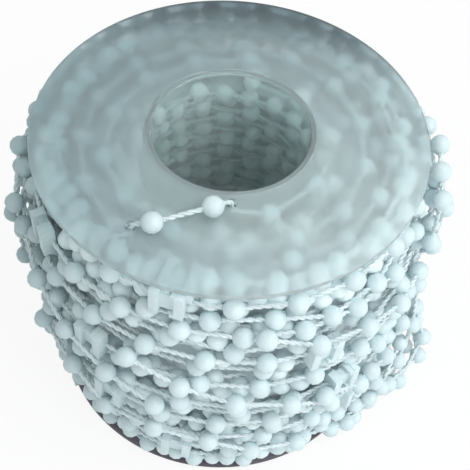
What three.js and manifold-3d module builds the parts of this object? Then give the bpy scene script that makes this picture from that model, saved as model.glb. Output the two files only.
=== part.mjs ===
// Spool of vertical blind bottom chain. Millimetres, +Z up, the spool's axis is the z axis
// and the lower flange stands on z = 0. Angles along the winding are in radians, azimuths
// in degrees from +X towards +Y.
import * as THREE from 'three';
import { mergeVertices } from 'three/addons/utils/BufferGeometryUtils.js';
import Module from 'manifold-3d';

const wasm = await Module();
wasm.setup();

// Spool: two round flanges on a core tube whose ends sit in them as spigots
const SPOOL_HEIGHT = 80;
const FLANGE_RADIUS = 42.5;
const FLANGE_THICKNESS = 1.6;
const EDGE_CHAMFER = 0.4;
const BORE_RADIUS = 17.2;
const TUBE_WALL = 1.6;
const SPIGOT_WALL = 0.9;
const SPIGOT_RECESS = 0.2;
const FIT_GAP = 0.3;
const SPOOL_SEGMENTS = 48;
const UNDERSIDE = SPOOL_HEIGHT - FLANGE_THICKNESS;
const TUBE_RADIUS = BORE_RADIUS + TUBE_WALL;
const SPIGOT_RADIUS = BORE_RADIUS + SPIGOT_WALL;

// Chain: round beads at an even pitch on a cord, a clip in place of every so many beads
const BEAD_RADIUS = 2.2;
const BEAD_PITCH = 12.7;
const CORD_RADIUS = 0.6;
const CHAIN_SIDES = 6;
const CLIP_INTERVAL = 9;
const FIRST_CLIP = 1;
// Gap between the chain and what it lies on
const REST_GAP = 0.3;

// Threading holes in each flange: one in from the rim, one out from the core tube
const THREAD_HOLE_GAP = 0.6;
const THREAD_HOLE_SEGMENTS = 12;
const OUTER_HOLE_INSET = 9.3;
const OUTER_HOLE_AZIMUTH = -123.2;
const INNER_HOLE_OFFSET = 1.7;
const INNER_HOLE_AZIMUTH = -87;
const THREAD_HOLE_RADIUS = CORD_RADIUS + THREAD_HOLE_GAP;
const OUTER_HOLE = { azimuth: OUTER_HOLE_AZIMUTH, radius: FLANGE_RADIUS - OUTER_HOLE_INSET };
const INNER_HOLE = { azimuth: INNER_HOLE_AZIMUTH, radius: TUBE_RADIUS + INNER_HOLE_OFFSET };

// Clip: two upright bars joined by a lower web that holds the cord. One bar has a lip at
// each end that reaches towards the other.
const CLIP_BAR_SPACING = 5.2;
const CLIP_BAR_WIDTH = 1.6;
const CLIP_BAR_HEIGHT = 7.2;
const CLIP_WALL = 0.3;
const CLIP_BAR_RISE = 0.7;
const CLIP_LIP = 1.1;
const CLIP_LIP_HEIGHT = 1.0;
const CLIP_WEB_HEIGHT = 4.8;
const CLIP_HOLE_RADIUS = CORD_RADIUS + FIT_GAP;
const CLIP_WEB_REACH = CLIP_HOLE_RADIUS + CLIP_WALL;

// Outer turns of the winding, between the flanges and bulging beyond their rims
const TURNS = 8;
const START_AZIMUTH = -121.7;
const END_TURN_SLACK = 0.3;
const RIM_INSET = 2.6;
const WINDING_BULGE = 5.2;
const BULGE_SHAPE = 0.7;
const END_TURN_REACH = CLIP_BAR_HEIGHT / 2 + REST_GAP + END_TURN_SLACK;
const WINDING_TOP = UNDERSIDE - END_TURN_REACH;
const WINDING_BOTTOM = FLANGE_THICKNESS + END_TURN_REACH;
const EDGE_WINDING_RADIUS = FLANGE_RADIUS - RIM_INSET;
// Slow waves of the turns, as height in mm, cycles a turn and phase
const WAVES = [[2.4, 1.04, 0.5], [1.5, 2.07, 2.0], [0.8, 3.05, 0.0]];

// Packed inner turns under the outer ones: a groove under each turn, and between the turns
// a row of bumps, which are the next layer's beads. On top, the beads of the turns that lie
// against the upper flange stand up in rings.
const PACK_COLUMNS = 36;
const PACK_SHOULDER = 0.8;
const GROOVE_CLEARANCE = 1.6;
const PACK_CORD_RISE = 0.8;
const PACK_BEAD_RISE = 3;
const TOP_RINGS = 3;
const TOP_BEAD_RISE = 2.4;
const PACK_TOP = UNDERSIDE - 2 * (REST_GAP + BEAD_RADIUS);
const PACK_BOTTOM = FLANGE_THICKNESS + REST_GAP;
const GROOVE_DEPTH = BEAD_RADIUS + GROOVE_CLEARANCE;

// Chain end laid across the upper flange between the two holes, and its tail round the core
const TOP_BEAD_REACH = 3.3;
const TOP_BEAD_INSET = 1.5;
const TOP_BEADS = [{ azimuth: -96.1, radius: INNER_HOLE.radius + TOP_BEAD_REACH },
  { azimuth: -116, radius: OUTER_HOLE.radius - TOP_BEAD_INSET }];
const TAIL_RADIUS = TUBE_RADIUS + BEAD_RADIUS + 2 * REST_GAP;
const TAIL_AZIMUTHS = [-14, -32, -66];
const RIM_BEND_AZIMUTH = -130;

// Slack loops as azimuth, distance beyond the flange's rim and share of the spool's height:
// the first and last stop lie inside the packed turns, the others are beads
const SLACK_LOOPS = [
  [[10, -6.5, 0.86], [-6.5, 2.9, 0.952], [-6.5, 6.3, 0.81], [-8, 6.3, 0.655],
    [-18, -3.5, 0.55]],
  [[6, -4.5, 0.3], [-2, 8, 0.21], [-11, 12.7, 0.1], [-23.5, 7.1, 0.1], [-36, 2.4, 0.1],
    [-47, -6.5, 0.14]],
  [[-1, -2.5, 0.42], [-8, 7.9, 0.33], [-9.5, 12.3, 0.19], [-19.4, 9.4, 0.065],
    [-30.2, 4.1, 0.06], [-41, -7.5, 0.06]],
  [[-190, -4.5, 0.85], [-182, 4.7, 0.77], [-176, 7.5, 0.632], [-172, 6.1, 0.48],
    [-163, -2.5, 0.41]],
];

function plastic(name, color, roughness) {
  return new THREE.MeshStandardMaterial({ name, color, roughness, metalness: 0 });
}

const FROSTED = plastic('frosted_plastic', 0x9db8bb, 0.5);
const SMOKED = plastic('smoked_plastic', 0x4a4650, 0.5);
const WHITE = plastic('white_plastic', 0xe4eff0, 0.4);

function toSolid(geometry) {
  const bare = geometry.clone();
  bare.deleteAttribute('normal');
  bare.deleteAttribute('uv');
  const merged = mergeVertices(bare, 1e-4);
  return new wasm.Manifold(new wasm.Mesh({
    numProp: 3,
    vertProperties: new Float32Array(merged.attributes.position.array),
    triVerts: new Uint32Array(merged.index.array),
  }));
}

function toMesh(solid, name, material) {
  const mesh = solid.getMesh();
  const geometry = new THREE.BufferGeometry();
  const positions = new Float32Array(mesh.vertProperties);
  geometry.setAttribute('position', new THREE.BufferAttribute(positions, 3));
  geometry.setIndex(new THREE.BufferAttribute(new Uint32Array(mesh.triVerts), 1));
  geometry.computeVertexNormals();
  const result = new THREE.Mesh(geometry, material);
  result.name = name;
  return result;
}

// Closed geometry from points and triangles, turned so that its faces look outwards.
function closedGeometry(points, triangles) {
  let volume = 0;
  for (const [a, b, c] of triangles) {
    volume += points[a].dot(new THREE.Vector3().crossVectors(points[b], points[c]));
  }
  const outward = volume > 0 ? triangles : triangles.map(([a, b, c]) => [a, c, b]);
  const geometry = new THREE.BufferGeometry();
  const positions = points.flatMap((point) => point.toArray());
  geometry.setAttribute('position', new THREE.Float32BufferAttribute(positions, 3));
  geometry.setIndex(outward.flat());
  return geometry;
}

function atCylindrical(azimuth, radius, z) {
  const angle = THREE.MathUtils.degToRad(azimuth);
  return new THREE.Vector3(radius * Math.cos(angle), radius * Math.sin(angle), z);
}

// Ring turned round the z axis from its section, given as [radius, z] corners.
function turnedRing(section) {
  const corners = [...section, section[0]].map(([r, z]) => new THREE.Vector2(r, z));
  const geometry = new THREE.LatheGeometry(corners, SPOOL_SEGMENTS);
  return toSolid(geometry.rotateX(Math.PI / 2));
}

function flangeSolid(zLow) {
  const zHigh = zLow + FLANGE_THICKNESS;
  const flat = FLANGE_RADIUS - EDGE_CHAMFER;
  const bore = SPIGOT_RADIUS + FIT_GAP;
  let flange = turnedRing([
    [bore, zLow], [flat, zLow], [FLANGE_RADIUS, zLow + EDGE_CHAMFER],
    [FLANGE_RADIUS, zHigh - EDGE_CHAMFER], [flat, zHigh], [bore, zHigh],
  ]);
  for (const { azimuth, radius } of [OUTER_HOLE, INNER_HOLE]) {
    const drill = new THREE.CylinderGeometry(THREAD_HOLE_RADIUS, THREAD_HOLE_RADIUS,
      2 * FLANGE_THICKNESS, THREAD_HOLE_SEGMENTS);
    const centre = atCylindrical(azimuth, radius, (zLow + zHigh) / 2);
    drill.rotateX(Math.PI / 2).translate(centre.x, centre.y, centre.z);
    flange = flange.subtract(toSolid(drill));
  }
  return flange;
}

function coreTubeSolid() {
  const low = FLANGE_THICKNESS + FIT_GAP;
  const high = UNDERSIDE - FIT_GAP;
  const end = SPOOL_HEIGHT - SPIGOT_RECESS;
  return turnedRing([
    [BORE_RADIUS, SPIGOT_RECESS], [SPIGOT_RADIUS, SPIGOT_RECESS], [SPIGOT_RADIUS, low],
    [TUBE_RADIUS, low], [TUBE_RADIUS, high], [SPIGOT_RADIUS, high], [SPIGOT_RADIUS, end],
    [BORE_RADIUS, end],
  ]);
}

// Height of the outer turn at an angle along the winding, counted from its upper start.
function turnHeight(angle) {
  const share = Math.min(1, Math.max(0, angle / (2 * Math.PI * TURNS)));
  const level = WINDING_TOP - (WINDING_TOP - WINDING_BOTTOM) * share;
  const wave = WAVES.reduce((sum, [height, cycles, phase]) => (
    sum + height * Math.sin(cycles * angle + phase)), 0);
  return level + wave * Math.sin(Math.PI * share);
}

// Distance of the outer beads from the axis: the winding bulges between the flanges.
function windingRadius(z) {
  const share = (z - PACK_BOTTOM) / (WINDING_TOP + BEAD_RADIUS - PACK_BOTTOM);
  const rise = Math.max(0, Math.sin(Math.PI * Math.min(1, Math.max(0, share))));
  return EDGE_WINDING_RADIUS + WINDING_BULGE * rise ** BULGE_SHAPE;
}

function onWinding(angle, depth = 0) {
  const z = turnHeight(angle);
  const azimuth = START_AZIMUTH + THREE.MathUtils.radToDeg(angle);
  return atCylindrical(azimuth, windingRadius(z) - depth, z);
}

// Angles along the winding at which a bead or a clip sits, one chain pitch apart.
function windingAngles() {
  const angles = [];
  const step = 0.01;
  for (let angle = 0; angle < 2 * Math.PI * TURNS;) {
    angles.push(angle);
    const travel = onWinding(angle + step).distanceTo(onWinding(angle)) / step;
    angle += BEAD_PITCH / travel;
  }
  return angles;
}

const STOP_ANGLES = windingAngles();
const CLIP_ANGLES = STOP_ANGLES.filter((_, index) => index % CLIP_INTERVAL === FIRST_CLIP);

function bead(point) {
  return { kind: 'bead', point };
}

function bend(point) {
  return { kind: 'bend', point };
}

// The chain from its tail round the core, up through the inner hole, over the upper flange
// and down through the outer hole into the outer turns.
function chainStops() {
  const below = UNDERSIDE - REST_GAP - BEAD_RADIUS;
  const above = SPOOL_HEIGHT + REST_GAP + BEAD_RADIUS;
  const holeLow = UNDERSIDE - THREAD_HOLE_RADIUS;
  const holeHigh = SPOOL_HEIGHT + THREAD_HOLE_RADIUS / 2;
  const [tailEnd, ...tailBeads] = TAIL_AZIMUTHS.map((azimuth) => (
    atCylindrical(azimuth, TAIL_RADIUS, below)));
  const place = ({ azimuth, radius }, z) => atCylindrical(azimuth, radius, z);
  const turns = STOP_ANGLES.map((angle) => (
    CLIP_ANGLES.includes(angle) ? { kind: 'clip', point: onWinding(angle) }
      : bead(onWinding(angle))));
  const last = STOP_ANGLES[STOP_ANGLES.length - 1];
  return [
    bend(tailEnd),
    ...tailBeads.map(bead),
    bend(place(INNER_HOLE, holeLow)),
    bend(place(INNER_HOLE, holeHigh)),
    ...TOP_BEADS.map((spot) => bead(place(spot, above))),
    bend(place(OUTER_HOLE, holeHigh)),
    bend(place(OUTER_HOLE, holeLow)),
    bend(atCylindrical(RIM_BEND_AZIMUTH, EDGE_WINDING_RADIUS, holeLow)),
    ...turns,
    bend(onWinding(last + 0.2, 2 * GROOVE_DEPTH)),
  ];
}

function loopStops(loop) {
  const points = loop.map(([azimuth, beyond, share]) => (
    atCylindrical(azimuth, FLANGE_RADIUS + beyond, SPOOL_HEIGHT * share)));
  return points.map((point, index) => (
    index === 0 || index === points.length - 1 ? bend(point) : bead(point)));
}

// Section rings of the chain along its stops: a bead is four rings, a bend is one.
function sectionRings(stops) {
  const clipReach = CLIP_BAR_SPACING / 2 + CLIP_BAR_WIDTH;
  return stops.flatMap(({ kind, point }, index) => {
    const before = stops[Math.max(0, index - 1)].point;
    const after = stops[Math.min(stops.length - 1, index + 1)].point;
    const along = after.clone().sub(before).normalize();
    const ring = (offset, radius) => ({
      centre: point.clone().addScaledVector(along, offset), along, radius,
    });
    if (kind === 'bead') {
      return [ring(-BEAD_RADIUS, CORD_RADIUS), ring(-BEAD_RADIUS / 2, BEAD_RADIUS),
        ring(BEAD_RADIUS / 2, BEAD_RADIUS), ring(BEAD_RADIUS, CORD_RADIUS)];
    }
    if (kind === 'clip') {
      return [ring(-clipReach, CORD_RADIUS), ring(clipReach, CORD_RADIUS)];
    }
    return [ring(0, CORD_RADIUS)];
  });
}

// Chain as one closed sweep through its section rings, with the section carried along
// without twist.
function chainSolid(stops) {
  const rings = sectionRings(stops);
  const points = [];
  const triangles = [];
  let side = new THREE.Vector3(0, 0, 1);
  rings.forEach(({ centre, along, radius }, row) => {
    side = side.addScaledVector(along, -side.dot(along)).normalize();
    const other = new THREE.Vector3().crossVectors(along, side);
    for (let k = 0; k < CHAIN_SIDES; k += 1) {
      const turn = (2 * Math.PI * (k + 0.5)) / CHAIN_SIDES;
      points.push(centre.clone().addScaledVector(side, radius * Math.cos(turn))
        .addScaledVector(other, radius * Math.sin(turn)));
    }
    if (row === 0) return;
    const here = row * CHAIN_SIDES;
    const back = here - CHAIN_SIDES;
    for (let k = 0; k < CHAIN_SIDES; k += 1) {
      const next = (k + 1) % CHAIN_SIDES;
      triangles.push([back + k, back + next, here + next], [back + k, here + next, here + k]);
    }
  });
  const end = points.length - CHAIN_SIDES;
  for (let k = 1; k < CHAIN_SIDES - 1; k += 1) {
    triangles.push([0, k + 1, k], [end, end + k, end + k + 1]);
  }
  return toSolid(closedGeometry(points, triangles));
}

// Whether a spot between two turns lies beside a clip, where the packed turns stay low.
function besideClip(angle) {
  const clipLength = CLIP_BAR_SPACING + CLIP_BAR_WIDTH;
  const reach = clipLength / EDGE_WINDING_RADIUS + (2 * Math.PI) / PACK_COLUMNS;
  return CLIP_ANGLES.some((clip) => (
    Math.abs(angle - clip) < reach || Math.abs(angle + 2 * Math.PI - clip) < reach));
}

// The packed inner turns as one ring round the core: its outside follows the outer turns,
// with a groove under each and a row of bumps between them, and rings of bumps on its top.
function packSolid() {
  const columns = PACK_COLUMNS;
  const grooveCount = columns * TURNS;
  const ridgeCount = columns * (TURNS - 1);
  const points = [];
  const triangles = [];
  const add = (point) => points.push(point) - 1;
  const quad = (a, b, c, d) => triangles.push([a, b, c], [a, c, d]);
  const angleAt = (n) => (2 * Math.PI * n) / columns;
  const azimuthAt = (n) => START_AZIMUTH + (360 * n) / columns;
  const shoulder = (z) => Math.min(z, PACK_TOP - PACK_SHOULDER);
  const grooves = Array.from({ length: grooveCount + 1 }, (_, n) => {
    const z = turnHeight(angleAt(n));
    const drop = (z - shoulder(z)) / 2;
    return add(atCylindrical(azimuthAt(n), windingRadius(z) - GROOVE_DEPTH - drop,
      shoulder(z)));
  });
  const ridges = Array.from({ length: ridgeCount + 1 }, (_, n) => {
    const z = (turnHeight(angleAt(n)) + turnHeight(angleAt(n + columns))) / 2;
    const bump = n % 2 === 1 && !besideClip(angleAt(n));
    const rise = bump ? PACK_BEAD_RISE : PACK_CORD_RISE;
    return add(atCylindrical(azimuthAt(n), windingRadius(z) - GROOVE_DEPTH + rise,
      shoulder(z)));
  });
  const circle = (radius, z) => Array.from({ length: columns }, (_, n) => (
    add(atCylindrical(azimuthAt(n), radius, z))));
  const edge = EDGE_WINDING_RADIUS - GROOVE_DEPTH - PACK_SHOULDER;
  const inner = TUBE_RADIUS + FIT_GAP;
  const topOuter = circle(edge, PACK_TOP);
  const topStep = (edge - inner) / (2 * TOP_RINGS);
  const topRings = Array.from({ length: 2 * TOP_RINGS }, (_, ring) => {
    const radius = edge - topStep * (ring + 1);
    if (ring % 2 === 1) return circle(radius, PACK_TOP);
    const spacing = Math.round((columns * BEAD_PITCH) / (2 * Math.PI * radius));
    return Array.from({ length: columns }, (__, n) => add(atCylindrical(azimuthAt(n),
      radius, n % spacing === ring % spacing ? PACK_TOP + TOP_BEAD_RISE : PACK_TOP)));
  });
  const topInner = topRings[topRings.length - 1];
  const lowInner = circle(inner, PACK_BOTTOM);
  const lowOuter = circle(edge, PACK_BOTTOM);
  for (let n = 0; n < ridgeCount; n += 1) {
    quad(grooves[n], grooves[n + 1], ridges[n + 1], ridges[n]);
    quad(ridges[n], ridges[n + 1], grooves[n + 1 + columns], grooves[n + columns]);
  }
  const lastTurn = grooveCount - columns;
  for (let n = 0; n < columns; n += 1) {
    const next = (n + 1) % columns;
    quad(topOuter[n], topOuter[next], grooves[n + 1], grooves[n]);
    quad(grooves[lastTurn + n], grooves[lastTurn + n + 1], lowOuter[next], lowOuter[n]);
    topRings.forEach((ring, index) => {
      const outer = index ? topRings[index - 1] : topOuter;
      quad(ring[n], ring[next], outer[next], outer[n]);
    });
    quad(lowInner[n], lowInner[next], topInner[next], topInner[n]);
    quad(lowOuter[n], lowOuter[next], lowInner[next], lowInner[n]);
  }
  // The step where the first and the last turn meet the flat ends
  quad(topOuter[0], grooves[0], ridges[0], grooves[columns]);
  quad(lowOuter[0], grooves[grooveCount], ridges[ridgeCount], grooves[lastTurn]);
  return toSolid(closedGeometry(points, triangles));
}

function woundChainSolid() {
  const chains = [chainStops(), ...SLACK_LOOPS.map(loopStops)].map(chainSolid);
  return wasm.Manifold.union([packSolid(), ...chains]);
}

// Clip about its own centre: x along the chain, y up the spool, z away from the axis.
function clipSolid() {
  const outer = (CLIP_BAR_SPACING + CLIP_BAR_WIDTH) / 2;
  const inner = outer - CLIP_BAR_WIDTH;
  const top = CLIP_BAR_HEIGHT / 2;
  const lipEnd = CLIP_LIP - inner;
  const lipSide = top - CLIP_LIP_HEIGHT;
  const raised = (corners) => {
    const outline = new THREE.Shape(corners.map(([x, y]) => new THREE.Vector2(x, y)));
    const depth = 2 * CLIP_WEB_REACH + CLIP_BAR_RISE;
    const geometry = new THREE.ExtrudeGeometry(outline, { depth, bevelEnabled: false });
    return toSolid(geometry.translate(0, 0, -CLIP_WEB_REACH));
  };
  const hookedBar = raised([[-outer, -top], [lipEnd, -top], [lipEnd, -lipSide],
    [-inner, -lipSide], [-inner, lipSide], [lipEnd, lipSide], [lipEnd, top], [-outer, top]]);
  const plainBar = raised([[inner, -top], [outer, -top], [outer, top], [inner, top]]);
  const web = new THREE.BoxGeometry(CLIP_BAR_SPACING, CLIP_WEB_HEIGHT, 2 * CLIP_WEB_REACH);
  const hole = new THREE.CylinderGeometry(CLIP_HOLE_RADIUS, CLIP_HOLE_RADIUS,
    2 * CLIP_BAR_SPACING, CHAIN_SIDES);
  return wasm.Manifold.union([hookedBar, plainBar, toSolid(web)])
    .subtract(toSolid(hole.rotateZ(Math.PI / 2)));
}

// The clip carried to its place on the winding.
function placedClip(clip, angle) {
  const index = STOP_ANGLES.indexOf(angle);
  const centre = onWinding(angle);
  const along = onWinding(STOP_ANGLES[index + 1]).sub(onWinding(STOP_ANGLES[index - 1]));
  along.normalize();
  const outward = new THREE.Vector3(centre.x, centre.y, 0);
  outward.addScaledVector(along, -outward.dot(along)).normalize();
  const up = new THREE.Vector3().crossVectors(outward, along);
  if (up.z < 0) {
    along.negate();
    up.negate();
  }
  const frame = new THREE.Matrix4().makeBasis(along, up, outward).setPosition(centre);
  return clip.transform(frame.elements);
}

const spool = new THREE.Group();
spool.name = 'blind_chain_spool';
spool.add(toMesh(flangeSolid(0), 'flange_lower', SMOKED));
spool.add(toMesh(flangeSolid(UNDERSIDE), 'flange_upper', FROSTED));
spool.add(toMesh(coreTubeSolid(), 'core_tube', FROSTED));
spool.add(toMesh(woundChainSolid(), 'wound_chain', WHITE));
const clip = clipSolid();
CLIP_ANGLES.forEach((angle, index) => {
  const name = `clip_${String(index + 1).padStart(2, '0')}`;
  spool.add(toMesh(placedClip(clip, angle), name, WHITE));
});

export default spool;
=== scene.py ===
"""Spool of vertical blind bottom chain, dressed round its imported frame.

A frosted plastic spool carries turn upon turn of white bead chain. Sizes are in
millimetres until a mesh is made, and the spool's axis is the z axis.
"""

from __future__ import annotations

import logging
import math
import random
from dataclasses import dataclass
from enum import Enum
from typing import Any, Sequence

import bpy
import numpy as np
from mathutils import Matrix, Vector

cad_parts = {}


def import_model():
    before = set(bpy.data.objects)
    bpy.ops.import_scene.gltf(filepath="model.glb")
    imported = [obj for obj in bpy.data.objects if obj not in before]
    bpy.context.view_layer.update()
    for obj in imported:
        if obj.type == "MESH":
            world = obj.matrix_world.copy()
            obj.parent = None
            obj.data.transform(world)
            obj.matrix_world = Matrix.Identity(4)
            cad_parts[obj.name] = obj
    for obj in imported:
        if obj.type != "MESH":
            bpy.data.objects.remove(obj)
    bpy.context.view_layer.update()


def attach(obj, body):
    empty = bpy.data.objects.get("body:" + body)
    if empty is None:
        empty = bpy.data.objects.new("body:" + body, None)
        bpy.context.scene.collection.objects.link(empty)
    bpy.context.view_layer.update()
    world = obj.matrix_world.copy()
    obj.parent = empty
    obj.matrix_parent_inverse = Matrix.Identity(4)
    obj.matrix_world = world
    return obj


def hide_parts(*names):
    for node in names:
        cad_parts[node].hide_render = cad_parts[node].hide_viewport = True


LOG = logging.getLogger("blind_chain_spool")
MM = 0.001
BODY = "root"
Point = np.ndarray
Rgb = tuple[float, float, float]
Triples = tuple[tuple[float, float, float], ...]
UP = np.array([0.0, 0.0, 1.0])
SMOOTH_BELOW = math.radians(35.0)

# Slanting directions to measure a sideways turn from. A cord that runs nearly along its first
# one takes the upright cord's instead.
BEAD_REFERENCE = np.array([0.3, 0.2, 1.0])
CORD_REFERENCE = np.array([0.2, 0.3, 1.0])
UPRIGHT_CORD_REFERENCE = np.array([1.0, 0.3, 0.1])
NEARLY_ALONG = 0.9


class StopKind(Enum):
    """What sits at a stop along the chain."""

    BEAD = "bead"
    CLIP = "clip"
    BEND = "bend"


@dataclass
class Stop:
    """One stop along a strand of chain.

    Args:
        kind: What sits at the stop.
        point: Its centre, in millimetres.
        depth: How far below the outer turns it settles; None where it stays put.
    """

    kind: StopKind
    point: Point
    depth: float | None = None


@dataclass(frozen=True)
class SpoolSizes:
    """Sizes of the spool in millimetres, as in the solids."""

    height: float = 80.0
    flange_radius: float = 42.5
    flange_thickness: float = 1.6
    bore_radius: float = 17.2
    tube_wall: float = 1.6
    spigot_wall: float = 0.9
    spigot_recess: float = 0.2
    hole_radius: float = 1.2
    outer_hole: tuple[float, float] = (-123.2, 33.2)
    inner_hole: tuple[float, float] = (-87.0, 20.5)

    @property
    def underside(self) -> float:
        """Height of the upper flange's underside."""
        return self.height - self.flange_thickness

    @property
    def tube_radius(self) -> float:
        """Outer radius of the core tube."""
        return self.bore_radius + self.tube_wall

    @property
    def spigot_radius(self) -> float:
        """Outer radius of the tube's ends, which sit in the flanges."""
        return self.bore_radius + self.spigot_wall


@dataclass(frozen=True)
class ChainSizes:
    """Sizes of the chain in millimetres."""

    bead_radius: float = 2.25
    pitch: float = 12.7
    ply_radius: float = 0.33
    ply_offset: float = 0.25
    lay: float = 3.6
    cord_step: float = 0.5
    cord_inset: float = 0.35
    easing_rounds: int = 6
    rest_gap: float = 0.3
    clip_interval: int = 9
    first_clip: int = 1


def around(azimuth: float, radius: float, z: float) -> Point:
    """Point at an azimuth in degrees, a distance from the axis and a height.

    Args:
        azimuth: Degrees from +X towards +Y.
        radius: Millimetres from the axis.
        z: Height in millimetres.

    Returns:
        The point in millimetres.
    """
    angle = math.radians(azimuth)
    return np.array([radius * math.cos(angle), radius * math.sin(angle), z])


def unit(vector: Point) -> Point:
    """The vector at length one."""
    return vector / np.linalg.norm(vector)


def bead_stop(azimuth: float, radius: float, z: float, depth: float) -> Stop:
    """A bead at an azimuth, a radius and a height, with the depth it settles to."""
    return Stop(StopKind.BEAD, around(azimuth, radius, z), depth)


def travel_along(points: np.ndarray) -> np.ndarray:
    """Distance travelled at each point of a line."""
    lengths = np.linalg.norm(np.diff(points, axis=0), axis=1)
    return np.concatenate([[0.0], np.cumsum(lengths)])


def link(name: str, data: Any) -> bpy.types.Object:
    """Adds an object with this data to the scene."""
    holder = bpy.data.objects.new(name, data)
    bpy.context.scene.collection.objects.link(holder)
    return holder


@dataclass
class Winding:
    """The course of the outer turns, as in the solids.

    Args:
        spool: Sizes of the spool.
        chain: Sizes of the chain.
        waves: Height, cycles to a turn and phase of each wave in the turns.
    """

    spool: SpoolSizes
    chain: ChainSizes
    turns: int = 8
    start_azimuth: float = -121.7
    end_slack: float = 0.3
    clip_half_height: float = 3.6
    rim_inset: float = 2.6
    bulge: float = 5.2
    bulge_shape: float = 0.7
    solid_bead: float = 2.2
    clip_room: float = 9.0
    waves: Triples = (
        (2.4, 1.04, 0.5),
        (1.5, 2.07, 2.0),
        (0.8, 3.05, 0.0),
    )

    def __post_init__(self) -> None:
        """Works out the heights that the turns run between."""
        end_reach = self.clip_half_height + self.chain.rest_gap + self.end_slack
        self.top = self.spool.underside - end_reach
        self.bottom = self.spool.flange_thickness + end_reach
        self.pack_bottom = self.spool.flange_thickness + self.chain.rest_gap
        self.edge_radius = self.spool.flange_radius - self.rim_inset
        self.full_angle = 2 * math.pi * self.turns

    def turn_height(self, angle: float) -> float:
        """Height of the outer turn at an angle along the winding."""
        share = min(1.0, max(0.0, angle / self.full_angle))
        level = self.top - (self.top - self.bottom) * share
        wave = sum(h * math.sin(cycles * angle + p) for h, cycles, p in self.waves)
        return level + wave * math.sin(math.pi * share)

    def radius(self, z: float) -> float:
        """Distance of the outer beads from the axis at a height."""
        span = self.top + self.solid_bead - self.pack_bottom
        share = min(1.0, max(0.0, (z - self.pack_bottom) / span))
        rise = max(0.0, math.sin(math.pi * share))
        return self.edge_radius + self.bulge * rise**self.bulge_shape

    def point(self, angle: float, depth: float = 0.0) -> Point:
        """Point on the outer turn, or a depth below it."""
        z = self.turn_height(angle)
        azimuth = self.start_azimuth + math.degrees(angle)
        return around(azimuth, self.radius(z) - depth, z)

    def angles(self) -> list[float]:
        """Angles at which a bead or a clip sits, one pitch apart."""
        found, angle, step = [], 0.0, 0.01
        while angle < self.full_angle:
            found.append(angle)
            travel = np.linalg.norm(self.point(angle + step) - self.point(angle))
            angle += self.chain.pitch / (travel / step)
        return found

    def clip_angles(self) -> list[float]:
        """Angles at which the clips of the outer turns sit."""
        chain = self.chain
        return [
            angle
            for index, angle in enumerate(self.angles())
            if index % chain.clip_interval == chain.first_clip
        ]

    def beside_clip(self, angle: float) -> bool:
        """Whether a spot between two turns lies beside a clip."""
        reach = self.clip_room / self.edge_radius
        turn = 2 * math.pi
        return any(
            abs(angle - clip) < reach or abs(angle + turn - clip) < reach
            for clip in self.clip_angles()
        )


class Signal:
    """A shader value that takes part in Python arithmetic.

    Args:
        board: The node board that the value is on.
        socket: The output socket that carries it.
    """

    def __init__(self, board: Board, socket: bpy.types.NodeSocket) -> None:
        self.board = board
        self.socket = socket

    def _math(self, operation: str, first: Any, second: Any) -> Signal:
        """Combines two values.

        Args:
            operation: The math node's operation.
            first: A number or a signal.
            second: A number or a signal.

        Returns:
            The result as a signal.
        """
        node = self.board.add(
            "ShaderNodeMath", {"operation": operation}, {0: first, 1: second}
        )
        return Signal(self.board, node.outputs[0])

    def __add__(self, other: Any) -> Signal:
        """Sum with a number or another signal."""
        return self._math("ADD", self, other)

    __radd__ = __add__

    def __sub__(self, other: Any) -> Signal:
        """This less the other."""
        return self._math("SUBTRACT", self, other)

    def __rsub__(self, other: Any) -> Signal:
        """The other less this."""
        return self._math("SUBTRACT", other, self)

    def __mul__(self, other: Any) -> Signal:
        """Product with a number or another signal."""
        return self._math("MULTIPLY", self, other)

    __rmul__ = __mul__


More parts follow.
